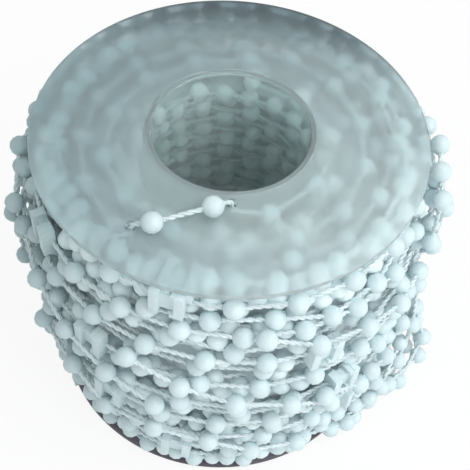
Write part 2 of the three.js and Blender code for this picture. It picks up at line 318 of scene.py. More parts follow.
class Board:
    """The node board of one material or world.

    Args:
        tree: Its node tree, which is emptied.
    """

    def __init__(self, tree: bpy.types.NodeTree) -> None:
        self.tree = tree
        tree.nodes.clear()

    def add(
        self, kind: str, settings: dict[str, Any] | None = None,
        inputs: dict[Any, Any] | None = None,
    ) -> bpy.types.Node:
        """Adds a node.

        Args:
            kind: The node's type.
            settings: Properties, set before the sockets; stops are a ramp's two stops.
            inputs: Values, signals or sockets for its input sockets.

        Returns:
            The new node.
        """
        node = self.tree.nodes.new(kind)
        for name, value in (settings or {}).items():
            if name == "stops":
                for element, (place, colour) in zip(node.color_ramp.elements, value):
                    element.position = place
                    element.color = (*colour, 1.0)
            else:
                setattr(node, name, value)
        for name, value in (inputs or {}).items():
            if isinstance(value, Signal):
                value = value.socket
            if isinstance(value, bpy.types.NodeSocket):
                self.tree.links.new(value, node.inputs[name])
            else:
                node.inputs[name].default_value = value
        return node

    def place(self) -> bpy.types.NodeSocket:
        """Object coordinates."""
        return self.add("ShaderNodeTexCoord").outputs["Object"]

    def noise(self, scale: float, detail: float, rough: float = 0.5) -> Signal:
        """Noise over the piece, from 0 to 1.

        Args:
            scale: Cells a metre.
            detail: Octaves.
            rough: Weight of the finer octaves.

        Returns:
            The noise as a signal.
        """
        node = self.add(
            "ShaderNodeTexNoise",
            inputs={
                "Vector": self.place(), "Scale": scale,
                "Detail": detail, "Roughness": rough,
            },
        )
        return Signal(self, node.outputs["Fac"])

    def ramp(self, value: Signal, *stops: tuple[float, Rgb]) -> Any:
        """Colour ramp over a signal, with the place and colour of its two stops."""
        return self.add(
            "ShaderNodeValToRGB", {"stops": stops}, {0: value}
        ).outputs["Color"]

    def blend(self, share: Signal, first: Any, second: Any) -> Any:
        """Colour between two colours.

        Args:
            share: Share of the second colour.
            first: Colour or socket where the share is nought.
            second: Colour or socket where it is one.

        Returns:
            The colour socket.
        """
        node = self.add(
            "ShaderNodeMix", {"data_type": "RGBA", "clamp_factor": True},
            {0: share, 6: first, 7: second},
        )
        return node.outputs[2]

    def reach(self, line: tuple[float, float]) -> Signal:
        """Distance in metres from an upright line.

        Args:
            line: Where the line stands, in x and y.

        Returns:
            The distance as a signal.
        """
        moved = self.add(
            "ShaderNodeMapping",
            inputs={
                "Vector": self.place(), "Location": (-line[0], -line[1], 0.0),
                "Scale": (1, 1, 0),
            },
        )
        length = self.add(
            "ShaderNodeVectorMath", {"operation": "LENGTH"}, {0: moved.outputs[0]}
        )
        return Signal(self, length.outputs["Value"])

    def bump(self, height: Signal, distance: float, strength: float) -> Any:
        """Normal raised by a signal.

        Args:
            height: The relief.
            distance: Its height in metres.
            strength: How much of it shows.

        Returns:
            The normal socket.
        """
        return self.add(
            "ShaderNodeBump",
            inputs={"Height": height, "Distance": distance, "Strength": strength},
        ).outputs["Normal"]

    def surface(self, **inputs: Any) -> None:
        """Ends the board in a Principled surface with these inputs."""
        names = {name.replace("_", " "): value for name, value in inputs.items()}
        shader = self.add("ShaderNodeBsdfPrincipled", inputs=names)
        self.add("ShaderNodeOutputMaterial", inputs={0: shader.outputs[0]})

    def end_in_mix(self, output: str, share: Signal, *shaders: bpy.types.Node) -> None:
        """Ends the board in a mix of two shaders.

        Args:
            output: The output node's type.
            share: Share of the second shader.
            shaders: The two shaders.
        """
        first, second = (shader.outputs[0] for shader in shaders)
        mix = self.add("ShaderNodeMixShader", inputs={0: share, 1: first, 2: second})
        self.add(output, inputs={0: mix.outputs[0]})


def new_material(name: str) -> tuple[bpy.types.Material, Board]:
    """Makes an empty node material.

    Args:
        name: The material's name.

    Returns:
        The material and its board.
    """
    material = bpy.data.materials.new(name)
    material.use_nodes = True
    return material, Board(material.node_tree)


def grey(level: float) -> tuple[float, float, float, float]:
    """A grey as a colour."""
    return (level, level, level, 1.0)


@dataclass(frozen=True)
class PaintedShade:
    """Painted shade: a slow change to a darker colour with the distance from an upright line, which
    by default stands at the front right, towards the lamps.
    """

    colour: Rgb
    line: tuple[float, float] = (0.040, -0.040)
    start: float = 0.030
    width: float = 0.075

    def over(self, board: Board, colour: Any) -> Any:
        """Lays the painted shade over a colour.

        Args:
            board: The board of the material.
            colour: The colour socket under it.

        Returns:
            The colour socket with the painted shade.
        """
        far = board.reach(self.line) - self.start
        return board.blend(far * (1.0 / self.width), colour, (*self.colour, 1.0))


@dataclass(frozen=True)
class Finish:
    """What every finish has: the material's name and two tones."""

    name: str
    light: Rgb
    dark: Rgb


@dataclass(frozen=True)
class MouldedFinish(Finish):
    """White moulded plastic of the beads and clips, with painted shade laid over its colour."""

    painted_shade: PaintedShade
    roughness: float = 0.46

    def build(self) -> bpy.types.Material:
        """Makes the material."""
        material, board = new_material(self.name)
        cloud = board.noise(scale=420.0, detail=2.0)
        colour = board.ramp(cloud, (0.3, self.dark), (0.7, self.light))
        fine = board.noise(scale=5200.0, detail=2.0)
        # Painted shade darkens the base colour away from the lamps.
        board.surface(
            Base_Color=self.painted_shade.over(board, colour),
            Roughness=self.roughness + 0.12 * fine,
            Normal=board.bump(fine, distance=0.00004, strength=0.4),
            IOR=1.49,
        )
        return material


@dataclass(frozen=True)
class PackedFinish(Finish):
    """Beads and cord of the turns too deep to be made out, as a white that is light at its cells'
    centres and darker between them: painted shade between the beads. Its light tone, lighter than
    the outer beads, is painted light in the gaps, and painted shade is laid over it.
    """

    painted_shade: PaintedShade
    bead_scale: float = 185.0
    roughness: float = 0.6

    def build(self) -> bpy.types.Material:
        """Makes the material."""
        material, board = new_material(self.name)
        cells = board.add(
            "ShaderNodeTexVoronoi", {"feature": "SMOOTH_F1"},
            {"Vector": board.place(), "Scale": self.bead_scale, "Smoothness": 0.25},
        )
        away = Signal(board, cells.outputs["Distance"])
        # Darker towards the cells' edges: painted shade between the beads.
        colour = board.ramp(away, (0.22, self.light), (0.62, self.dark))
        # Painted shade darkens the base colour away from the lamps.
        board.surface(
            Base_Color=self.painted_shade.over(board, colour),
            Roughness=self.roughness,
            Normal=board.bump(1.0 - away, distance=0.0022, strength=0.9),
            IOR=1.49,
        )
        return material


@dataclass(frozen=True)
class CordFinish(Finish):
    """White cord, mottled by its fibres and by stains, with painted shade laid over its colour."""

    painted_shade: PaintedShade

    def build(self) -> bpy.types.Material:
        """Makes the material."""
        material, board = new_material(self.name)
        fibres = board.noise(scale=7000.0, detail=3.0, rough=0.7)
        stain = board.noise(scale=300.0, detail=2.0)
        colour = board.ramp(
            0.6 * fibres + 0.4 * stain, (0.3, self.dark), (0.65, self.light)
        )
        # Painted shade darkens the base colour away from the lamps.
        board.surface(
            Base_Color=self.painted_shade.over(board, colour),
            Roughness=0.34 + 0.2 * fibres,
            Normal=board.bump(fibres, distance=0.00006, strength=0.6),
            IOR=1.5,
        )
        return material


@dataclass(frozen=True)
class FrostedFinish(Finish):
    """Frosted plastic that the turns show through, blurred."""

    transmission: float
    roughness: float
    ior: float = 1.3
    painted_shades: tuple[PaintedShade, ...] = ()

    def build(self) -> bpy.types.Material:
        """Makes the material."""
        material, board = new_material(self.name)
        cloud = board.noise(scale=60.0, detail=4.0, rough=0.6)
        colour = board.ramp(cloud, (0.3, self.dark), (0.7, self.light))
        # Painted shade laid over the colour, where the finish has any.
        for painted_shade in self.painted_shades:
            colour = painted_shade.over(board, colour)
        ripple = board.noise(scale=250.0, detail=1.0)
        scuffs = board.noise(scale=140.0, detail=5.0, rough=0.7)
        board.surface(
            Base_Color=colour,
            Roughness=self.roughness + 0.06 * scuffs,
            Normal=board.bump(ripple, distance=0.00004, strength=0.1),
            IOR=self.ior,
            Transmission_Weight=self.transmission,
        )
        return material


class Workbench:
    """Modelling steps shared by the pieces."""

    @staticmethod
    def clear_selection() -> None:
        """Deselects every object."""
        if bpy.context.object and bpy.context.object.mode != "OBJECT":
            bpy.ops.object.mode_set(mode="OBJECT")
        bpy.ops.object.select_all(action="DESELECT")

    @classmethod
    def activate(cls, piece: bpy.types.Object) -> None:
        """Selects one object and makes it active."""
        cls.clear_selection()
        piece.select_set(True)
        bpy.context.view_layer.objects.active = piece

    @classmethod
    def settle(cls, piece: bpy.types.Object) -> None:
        """Applies an object's place to its mesh."""
        cls.activate(piece)
        bpy.ops.object.transform_apply(location=True, rotation=True, scale=True)

    @classmethod
    def apply(cls, piece: bpy.types.Object, kind: str, **settings: Any) -> None:
        """Adds a modifier and applies it.

        Args:
            piece: The object.
            kind: The modifier's type.
            settings: Its properties.
        """
        cls.activate(piece)
        modifier = piece.modifiers.new(kind.lower(), kind)
        for name, value in settings.items():
            setattr(modifier, name, value)
        bpy.ops.object.modifier_apply(modifier=modifier.name)

    @classmethod
    def smooth(cls, piece: bpy.types.Object) -> None:
        """Shades a piece smooth across its flatter edges."""
        cls.activate(piece)
        bpy.ops.object.shade_smooth_by_angle(angle=SMOOTH_BELOW)

    @classmethod
    def turned(
        cls, name: str, section: Sequence[tuple[float, float]], segments: int
    ) -> bpy.types.Object:
        """Turns a closed section round the z axis by extruding a circle corner by corner.

        Args:
            name: The piece's name.
            section: Corners as radius and height in millimetres.
            segments: Sides of the circle.

        Returns:
            The piece.
        """
        cls.clear_selection()
        radius, z = section[0]
        bpy.ops.mesh.primitive_circle_add(vertices=segments, radius=radius * MM)
        piece = bpy.context.object
        piece.name = piece.data.name = name
        bpy.ops.object.mode_set(mode="EDIT")
        bpy.ops.mesh.select_all(action="SELECT")
        bpy.ops.transform.translate(value=(0, 0, z * MM))
        for next_radius, next_z in [*section[1:], section[0]]:
            bpy.ops.mesh.extrude_edges_indiv()
            ratio = next_radius / radius
            bpy.ops.transform.resize(value=(ratio, ratio, 1.0))
            bpy.ops.transform.translate(value=(0, 0, (next_z - z) * MM))
            radius, z = next_radius, next_z
        bpy.ops.mesh.select_all(action="SELECT")
        bpy.ops.mesh.remove_doubles(threshold=0.00001)
        bpy.ops.mesh.normals_make_consistent(inside=False)
        bpy.ops.object.mode_set(mode="OBJECT")
        return piece

    @classmethod
    def drill(cls, piece: bpy.types.Object, centre: Point, radius: float) -> None:
        """Cuts a round upright hole.

        Args:
            piece: The piece to cut.
            centre: The hole's centre in millimetres.
            radius: Its radius in millimetres.
        """
        cls.clear_selection()
        bpy.ops.mesh.primitive_cylinder_add(
            vertices=32, radius=radius * MM, depth=0.02, location=tuple(centre * MM)
        )
        cutter = bpy.context.object
        cls.apply(piece, "BOOLEAN", operation="DIFFERENCE", object=cutter, solver="EXACT")
        bpy.data.objects.remove(cutter)

    @staticmethod
    def mesh_piece(
        name: str, points: np.ndarray, faces: list[tuple[int, ...]]
    ) -> bpy.types.Object:
        """Makes a mesh piece from points in metres and faces."""
        mesh = bpy.data.meshes.new(name)
        mesh.from_pydata(points.tolist(), [], faces)
        mesh.polygons.foreach_set("use_smooth", [True] * len(mesh.polygons))
        mesh.update()
        return link(name, mesh)


def dress(
    piece: bpy.types.Object, material: bpy.types.Material, slot: str,
    replaced: Sequence[str] = (),
) -> None:
    """Gives a piece its material and ties it to the frame.

    Args:
        piece: The piece.
        material: Its material.
        slot: The record's material slot; not used.
        replaced: CAD nodes that it stands for.
    """
    piece.data.materials.clear()
    piece.data.materials.append(material)
    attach(piece, BODY)
    if replaced:
        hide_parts(*replaced)
    LOG.info("%s: %d faces", piece.name, len(piece.data.polygons))


@dataclass
class Pattern:
    """A small piece modelled once, to be copied along the chain.

    Args:
        points: Its points in millimetres, z along the chain.
        faces: Its faces.
    """

    points: np.ndarray
    faces: list[tuple[int, ...]]

    @classmethod
    def taken_from(cls, piece: bpy.types.Object) -> Pattern:
        """Takes the mesh of a modelled piece and removes the piece."""
        count = len(piece.data.vertices)
        flat = np.empty(count * 3)
        piece.data.vertices.foreach_get("co", flat)
        faces = [tuple(face.vertices) for face in piece.data.polygons]
        bpy.data.objects.remove(piece)
        return cls(flat.reshape(-1, 3) / MM, faces)

    def copies(
        self, name: str, places: Sequence[tuple[Point, np.ndarray]]
    ) -> bpy.types.Object:
        """Makes one piece of copies of the pattern.

        Args:
            name: The piece's name.
            places: For each copy its centre in millimetres and its three axes as rows.

        Returns:
            The piece.
        """
        clouds, faces = [], []
        for index, (centre, axes) in enumerate(places):
            clouds.append(centre + self.points @ axes)
            shift = index * len(self.points)
            faces += [tuple(v + shift for v in face) for face in self.faces]
        return Workbench.mesh_piece(name, np.vstack(clouds) * MM, faces)


@dataclass
class Bead:
    """Round bead moulded on the cord."""

    radius: float
    segments: int = 12
    rings: int = 6
    end_stretch: float = 1.03
    end_share: float = 0.999

    def pattern(self) -> Pattern:
        """Models the bead with its two ends drawn out a little along the cord.

        Returns:
            The bead along z.
        """
        Workbench.clear_selection()
        bpy.ops.mesh.primitive_uv_sphere_add(
            segments=self.segments, ring_count=self.rings, radius=self.radius * MM
        )
        piece = bpy.context.object
        end_reach = self.end_stretch * self.radius * MM
        for vertex in piece.data.vertices:
            if abs(vertex.co.z) > self.end_share * self.radius * MM:
                vertex.co.z = math.copysign(end_reach, vertex.co.z)
        return Pattern.taken_from(piece)


@dataclass
class Clip:
    """Moulded clip: two upright bars joined by a lower web that holds the cord."""

    bar_spacing: float = 5.1
    bar_width: float = 2.0
    bar_height: float = 7.2
    web_height: float = 4.8
    back_reach: float = 1.2
    web_rise: float = 0.85
    bar_front: float = 1.9
    lip: float = 0.8
    lip_height: float = 1.0
    overlap: float = 0.4
    rounding: float = 0.3
    rounded_above: float = 40.0

    def _block(self, low: Sequence[float], high: Sequence[float]) -> bpy.types.Object:
        """Adds a block between two corners."""
        Workbench.clear_selection()
        middle = [(a + b) / 2 * MM for a, b in zip(low, high)]
        size = [(b - a) * MM for a, b in zip(low, high)]
        bpy.ops.mesh.primitive_cube_add(size=1.0, location=middle, scale=size)
        block = bpy.context.object
        Workbench.settle(block)
        return block

    def pattern(self) -> Pattern:
        """Models the clip about its centre: z along the chain, y up, x outwards.

        Returns:
            The clip.
        """
        outer = (self.bar_spacing + self.bar_width) / 2
        inner = outer - self.bar_width
        top = self.bar_height / 2
        back, front = -self.back_reach, self.bar_front
        lip_side = top - self.lip_height
        half_web = self.web_height / 2
        near, far = -inner - self.overlap, inner + self.overlap
        blocks = [
            self._block((back, -top, -outer), (front, top, -inner)),
            self._block((back, -top, inner), (front, top, outer)),
            self._block((back, -half_web, near), (self.web_rise, half_web, far)),
            self._block((back, lip_side, near), (front, top, self.lip - inner)),
            self._block((back, -top, near), (front, -lip_side, self.lip - inner)),
        ]
        body = blocks[0]
        for other in blocks[1:]:
            Workbench.apply(body, "BOOLEAN", operation="UNION", object=other, solver="EXACT")
            bpy.data.objects.remove(other)
        Workbench.apply(
            body, "BEVEL", width=self.rounding * MM, segments=2, limit_method="ANGLE",
            angle_limit=math.radians(self.rounded_above),
        )
        return Pattern.taken_from(body)


@dataclass
class Strand:
    """A run of chain: its beads and its two-ply cord.

    Args:
        name: Start of its pieces' names.
        stops: Stops in order.
        sizes: Sizes of the chain.
        seed: Seed for the small differences between beads.
    """

    name: str
    stops: list[Stop]
    sizes: ChainSizes
    seed: int

    def _direction(self, index: int) -> Point:
        """Direction of the chain at a stop."""
        before = self.stops[max(0, index - 1)].point
        after = self.stops[min(len(self.stops) - 1, index + 1)].point
        return unit(after - before)

    def bead_places(self) -> list[tuple[Point, np.ndarray]]:
        """Centre and axes of each bead."""
        rng = random.Random(self.seed)
        places = []
        for index, stop in enumerate(self.stops):
            if stop.kind is not StopKind.BEAD:
                continue
            along = self._direction(index)
            side = unit(np.cross(along, BEAD_REFERENCE))
            turn = rng.uniform(0, math.pi)
            other = np.cross(along, side)
            first = math.cos(turn) * side + math.sin(turn) * other
            places.append((stop.point, np.array([first, np.cross(along, first), along])))
        return places

    def clip_places(self, facing: Point | None = None) -> list[tuple[Point, np.ndarray]]:
        """Centre and axes of each clip.

        Args:
            facing: Where the clips' fronts point; away from the axis if not given.

        Returns:
            Each clip's centre and its three axes as rows.
        """
        places = []
        for index, stop in enumerate(self.stops):
            if stop.kind is not StopKind.CLIP:
                continue
            along = self._direction(index)
            outward = np.array([stop.point[0], stop.point[1], 0.0]) if facing is None else facing
            outward = unit(outward - along * outward.dot(along))
            up = np.cross(along, outward)
            if up[2] < 0:
                along, up = -along, -up
            places.append((stop.point, np.array([outward, up, along])))
        return places

    def _runs(self) -> list[np.ndarray]:
        """Runs of cord between the beads, as rows of points."""
        runs, run = [], []
        inside = self.sizes.bead_radius - self.sizes.cord_inset
        for stop in self.stops:
            if stop.kind is StopKind.BEAD:
                if run:
                    toward = unit(run[-1] - stop.point)
                    run.append(stop.point + toward * inside)
                    runs.append(run)
                run = [stop.point]
            else:
                run.append(stop.point)
        if len(run) > 1:
            runs.append(run)
        trimmed = []
        for run in runs:
            first = run[0]
            if any(np.allclose(first, s.point) and s.kind is StopKind.BEAD for s in self.stops):
                run[0] = first + unit(run[1] - first) * inside
            trimmed.append(self._eased(np.array(run)))
        return trimmed

    def _eased(self, corners: np.ndarray) -> np.ndarray:
        """Rounds a run's corners and spaces its points evenly."""
        travel = travel_along(corners)
        count = max(3, int(travel[-1] / self.sizes.cord_step) + 1)
        spots = np.linspace(0, travel[-1], count)
        points = np.stack([np.interp(spots, travel, corners[:, k]) for k in range(3)], 1)
        if len(corners) > 2:
            for _ in range(self.sizes.easing_rounds):
                points[1:-1] = (points[:-2] + 2 * points[1:-1] + points[2:]) / 4
        return points

    def cord(self) -> bpy.types.Object:
        """Lays the two plies of the cord.

        Returns:
            The cord as one mesh piece.
        """
        curve = bpy.data.curves.new(f"{self.name}_cord", "CURVE")
        curve.dimensions = "3D"
        curve.bevel_depth = self.sizes.ply_radius * MM
        curve.bevel_resolution = 1
        curve.use_fill_caps = True
        travelled = 0.0
        for run in self._runs():
            along = np.gradient(run, axis=0)
            along /= np.linalg.norm(along, axis=1, keepdims=True)
            reference = CORD_REFERENCE
            if abs(unit(run[-1] - run[0]).dot(unit(reference))) > NEARLY_ALONG:
                reference = UPRIGHT_CORD_REFERENCE
            side = np.cross(along, reference)
            side /= np.linalg.norm(side, axis=1, keepdims=True)
            other = np.cross(along, side)
            travel = travelled + travel_along(run)
            travelled = travel[-1]
            for ply in (0.0, math.pi):
                phase = (2 * math.pi * travel / self.sizes.lay + ply)[:, None]
                offset = np.cos(phase) * side + np.sin(phase) * other
                line = (run + self.sizes.ply_offset * offset) * MM
                spline = curve.splines.new("POLY")
                spline.points.add(len(line) - 1)
                places = np.column_stack([line, np.ones(len(line))])
                spline.points.foreach_set("co", places.ravel())
                spline.use_smooth = True
        Workbench.activate(link(curve.name, curve))
        bpy.ops.object.convert(target="MESH")
        return bpy.context.object


@dataclass
class Settling:
    """Eases the beads of all strands apart, as turns settle between two flanges.

    Args:
        winding: The course of the outer turns.
    """

    winding: Winding
    rounds: int = 80
    clip_reach: float = 4.0
    pull: float = 0.15
    push: float = 0.6
    draw: float = 0.2
    margin: float = 0.1
    out_of_reach: float = 1e3

    def _confined(self, points: np.ndarray, depths: np.ndarray) -> np.ndarray:
        """Draws free points to their depth and keeps them between the flanges.

        Args:
            points: Free points.
            depths: Their wanted depths below the outer turns.

        Returns:
            The points moved.
        """
        winding = self.winding
        clearance = winding.chain.bead_radius + self.margin
        low = winding.spool.flange_thickness + clearance
        high = winding.spool.underside - clearance
        points[:, 2] = np.clip(points[:, 2], low, high)
        radii = np.hypot(points[:, 0], points[:, 1])
        surface = np.array([winding.radius(z) for z in points[:, 2]])
        wanted = radii + self.pull * (surface - depths - radii)
        inner = winding.spool.tube_radius + winding.chain.bead_radius
        wanted = np.clip(wanted, inner, surface - np.minimum(depths, 0.0))
        points[:, :2] *= (wanted / radii)[:, None]
        return points

    def settle(self, strands: Sequence[Strand]) -> None:
        """Moves the free stops of the strands.

        Args:
            strands: Strands whose stops are changed in place.
        """
        stops, links = [], []
        for strand in strands:
            for index, stop in enumerate(strand.stops):
                if stop.depth is not None and index and strand.stops[index - 1].depth is not None:
                    links.append((len(stops) - 1, len(stops)))
                if stop.kind is not StopKind.BEND:
                    stops.append(stop)
        points = np.array([stop.point for stop in stops])
        free = np.array([stop.depth is not None for stop in stops])
        depths = np.array([stop.depth or 0.0 for stop in stops])
        reach = np.array([
            self.clip_reach if stop.kind is StopKind.CLIP else self.winding.chain.bead_radius
            for stop in stops
        ])
        contact = reach[:, None] + reach[None, :]
        share = np.where(free[None, :], 0.5, 1.0)
        first, second = np.array(links).T
        for _ in range(self.rounds):
            apart = points[:, None, :] - points[None, :, :]
            distance = np.linalg.norm(apart, axis=2)
            np.fill_diagonal(distance, self.out_of_reach)
            overlap = np.clip(contact - distance, 0.0, None) * share
            push = (apart * (overlap / distance)[:, :, None]).sum(axis=1)
            points[free] += self.push * push[free]
            along = points[second] - points[first]
            length = np.linalg.norm(along, axis=1, keepdims=True)
            shift = self.draw * along * (1.0 - self.winding.chain.pitch / length)
            np.add.at(points, first, shift)
            np.add.at(points, second, -shift)
            points[free] = self._confined(points[free], depths[free])
        for stop, point in zip(stops, points):
            if stop.depth is not None:
                stop.point = point


@dataclass
class Spool:
    """The two flanges and the core tube."""

    sizes: SpoolSizes
    segments: int = 144
    edge: float = 0.45
    corner_share: float = 0.3
    lip: float = 0.15
    shown_gap: float = 0.05
    level_normal: float = 0.5

    def _flange(self, name: str, low: float) -> bpy.types.Object:
        """Makes one flange with its rounded rim and threading holes."""
        sizes = self.sizes
        high = low + sizes.flange_thickness
        bore = sizes.spigot_radius + self.shown_gap
        rim, edge, lip = sizes.flange_radius, self.edge, self.lip
        corner = self.corner_share * edge
        section = [
            (bore, low + lip), (bore + lip, low), (rim - edge, low),
            (rim - corner, low + corner), (rim, low + edge), (rim, high - edge),
            (rim - corner, high - corner), (rim - edge, high),
            (bore + lip, high), (bore, high - lip),
        ]
        piece = Workbench.turned(name, section, self.segments)
        for azimuth, radius in (sizes.outer_hole, sizes.inner_hole):
            centre = around(azimuth, radius, (low + high) / 2)
            Workbench.drill(piece, centre, sizes.hole_radius)
        Workbench.smooth(piece)
        return piece

    def _tube(self) -> bpy.types.Object:
        """Makes the core tube with its spigots."""
        sizes = self.sizes
        low = sizes.flange_thickness + self.shown_gap
        high = sizes.underside - self.shown_gap
        end, recess, lip = sizes.height - sizes.spigot_recess, sizes.spigot_recess, self.lip
        bore, spigot, tube = sizes.bore_radius, sizes.spigot_radius, sizes.tube_radius
        section = [
            (bore, recess + lip), (bore + lip, recess), (spigot, recess), (spigot, low),
            (tube, low), (tube, high), (spigot, high), (spigot, end), (bore + lip, end),
            (bore, end - lip),
        ]
        piece = Workbench.turned("spool_core", section, self.segments)
        Workbench.smooth(piece)
        return piece

    def build(
        self, clear: bpy.types.Material, hazy: bpy.types.Material,
        shade_dark: bpy.types.Material,
    ) -> None:
        """Builds and dresses the spool.

        Args:
            clear: Frosted plastic of the upper flange, with painted shade towards its left and its
                far rim.
            hazy: Frosted plastic of the core.
            shade_dark: Darker plastic of the lower flange; the dark tint is painted shade, standing
                in for the shade under the spool.
        """
        upper = self._flange("spool_flange_upper", self.sizes.underside)
        dress(upper, clear, "frosted_plastic", ["flange_upper"])
        lower = self._flange("spool_flange_lower", 0.0)
        dress(lower, shade_dark, "smoked_plastic", ["flange_lower"])
        tube = self._tube()
        dress(tube, hazy, "frosted_plastic", ["core_tube"])
        # The tube's level end faces take the upper flange's material, with its painted shade.
        tube.data.materials.append(clear)
        for face in tube.data.polygons:
            if abs(face.normal.z) > self.level_normal:
                face.material_index = 1


@dataclass
class WoundChain:
    """All the turns of chain on the spool.

    Args:
        winding: The course of the outer turns.
        over_runs: Azimuth and height where each stretch starts, and where it ends.
        loops: Azimuth, reach past the flange and share of the height of each bead.
        fillings: Azimuth, radius and height of each bead.
    """

    winding: Winding
    slot: str = "white_plastic"
    inner_strands: tuple[str, ...] = (
        "crossing_turns", "deep_turns", "level_turns", "lower_turns",
    )
    core_strands: tuple[str, ...] = ("core_turns", "core_turns_second")
    top_beads: tuple[tuple[float, float], ...] = ((-96.1, 23.8), (-116.0, 31.7))
    tail_azimuths: tuple[float, ...] = (-14.0, -32.0, -66.0)
    rim_bend_azimuth: float = -130.0
    last_turn: float = 0.2
    last_depth: float = 5.5
    second_seed: int = 7
    second_start: float = 0.12
    second_wave: tuple[float, float, float] = (2.6, 2.3, 1.0)
    second_depth: float = 1.2
    second_inset: float = 1.5
    second_spread: tuple[float, float] = (0.3, 0.5)
    clip_sink: float = 1.2
    crossing_wave: tuple[float, float] = (1.2, 2.3)
    crossing_margin: float = 1.0
    crossing_inset: float = 2.0
    sweep_azimuth: float = 40.0
    spiral_pitch: float = 4.9
    spiral_waves: tuple[tuple[float, float], ...] = ((1.3, 2.1), (0.8, 3.7))
    spiral_sag: float = 0.6
    flange_gap: float = 0.25
    upper_gap: float = 0.7
    deeper_reach: float = 7.0
    lower_gap: float = 0.9
    core_wave: tuple[float, float] = (0.5, 1.7)
    core_top: float = 71.0
    packed_depth: float = 6.2
    packed_inset: float = 5.2
    packed_span: tuple[float, float] = (7.5, 68.5)
    packed_rows: int = 12
    packed_sides: int = 72
    over_depth: float = -2.4
    over_runs: tuple[tuple[float, float, float, float], ...] = (
        (-176, 64, -104, 40),
        (-150, 42, -62, 13),
        (-84, 69, -12, 50),
        (-118, 57, -38, 31),
        (-60, 40, 8, 20),
        (18, 62, 104, 30),
        (96, 68, 184, 38),
        (120, 40, 196, 14),
        (12, 72, 168, 71),
        (4, 68, 174, 67),
        (8, 64, 178, 63),
        (16, 75, 166, 75),
        (20, 73.5, 172, 73.5),
    )
    loops: tuple[Triples, ...] = (
        ((10, -6.5, 0.86), (-6.5, 2.9, 0.952), (-6.5, 6.3, 0.81), (-8, 6.3, 0.655),
         (-18, -3.5, 0.55)),
        ((6, -4.5, 0.3), (-2, 8, 0.21), (-11, 12.7, 0.1), (-23.5, 7.1, 0.1),
         (-36, 2.4, 0.1), (-47, -6.5, 0.14)),
        ((-1, -2.5, 0.42), (-8, 7.9, 0.33), (-9.5, 12.3, 0.19), (-19.4, 9.4, 0.065),
         (-30.2, 4.1, 0.06), (-41, -7.5, 0.06)),
        ((-190, -4.5, 0.85), (-182, 4.7, 0.77), (-176, 7.5, 0.632), (-172, 6.1, 0.48),
         (-163, -2.5, 0.41)),
    )
    fillings: tuple[Triples, ...] = (
        ((-1, 44, 36), (-8, 47, 27), (-15, 49, 18), (-24, 48, 9), (-36, 46, 6), (-48, 42, 6)),
        ((-4, 46, 14), (-18, 48, 6), (-30, 46.5, 13), (-42, 44, 14)),
        ((4, 44, 44), (-5, 47, 34), (-13, 47, 24), (-26, 46, 20), (-38, 45, 22)),
        ((-186, 44, 71), (-180, 46, 61), (-176, 47, 50), (-168, 46, 42), (-158, 44, 36)),
        ((-190, 43, 74), (-182, 46.5, 69), (-175, 47.5, 63), (-169, 47, 54), (-161, 45, 45)),
        ((3, 43, 71), (-4, 46, 66), (-9, 46.5, 57), (-14, 45, 47), (-20, 44, 38)),
        ((-1, 46.5, 74), (-6, 47.5, 69), (-8, 47.5, 59), (-11, 47.5, 49), (-16, 46, 41)),
        ((-3, 48, 27), (-9, 51, 18), (-14, 52, 10), (-23, 50, 4.5), (-34, 46, 4.5)),
        ((-6, 49, 34), (-12, 50.5, 23), (-19, 50, 13), (-29, 47, 9), (-41, 44, 4.5)),
        ((-147, 40.6, 5.2), (-130, 41.2, 4.6), (-113, 41.7, 4.4), (-96, 41.9, 4.3),
         (-79, 41.9, 4.3), (-62, 41.7, 4.3), (-45, 41.4, 4.3)),
        ((-120, 42.3, 9.4), (-103, 42.6, 9.0), (-86, 42.7, 8.7), (-69, 42.6, 8.5),
         (-52, 42.4, 8.3), (-35, 42.2, 8.2)),
        ((6, 44, 76), (2, 45.6, 71), (-1, 46.4, 62), (-5, 46.4, 52), (-9, 45.5, 43)),
    )
    covered_run: tuple[tuple[StopKind, float, float, float], ...] = (
        (StopKind.BEAD, -137.0, 36.5, 75.0),
        (StopKind.BEAD, -119.0, 37.5, 74.6),
        (StopKind.CLIP, -102.0, 38.0, 76.1),
        (StopKind.BEAD, -83.0, 37.0, 74.4),
        (StopKind.BEAD, -65.0, 36.5, 74.8),
    )

    def outer_stops(self) -> list[Stop]:
        """Stops of the threaded end and the outer turns, as in the solids."""
        winding = self.winding
        spool, chain = winding.spool, winding.chain
        reach = chain.rest_gap + winding.solid_bead
        below, above = spool.underside - reach, spool.height + reach
        hole_low = spool.underside - spool.hole_radius
        hole_high = spool.height + spool.hole_radius / 2
        under_rim = spool.underside - chain.ply_radius - chain.ply_offset
        tail_radius = spool.tube_radius + winding.solid_bead + 2 * chain.rest_gap
        tail = [around(a, tail_radius, below) for a in self.tail_azimuths]
        clips = set(winding.clip_angles())
        angles = winding.angles()
        bead, bend = StopKind.BEAD, StopKind.BEND
        return [
            Stop(bend, tail[0]),
            *(Stop(bead, point) for point in tail[1:]),
            Stop(bend, around(*spool.inner_hole, hole_low)),
            Stop(bend, around(*spool.inner_hole, hole_high)),
            *(Stop(bead, around(a, r, above)) for a, r in self.top_beads),
            Stop(bend, around(*spool.outer_hole, hole_high)),
            Stop(bend, around(*spool.outer_hole, hole_low)),
            Stop(bend, around(self.rim_bend_azimuth, winding.edge_radius, under_rim)),
            *(Stop(StopKind.CLIP if a in clips else bead, winding.point(a)) for a in angles),
            Stop(bend, winding.point(angles[-1] + self.last_turn, self.last_depth)),
        ]

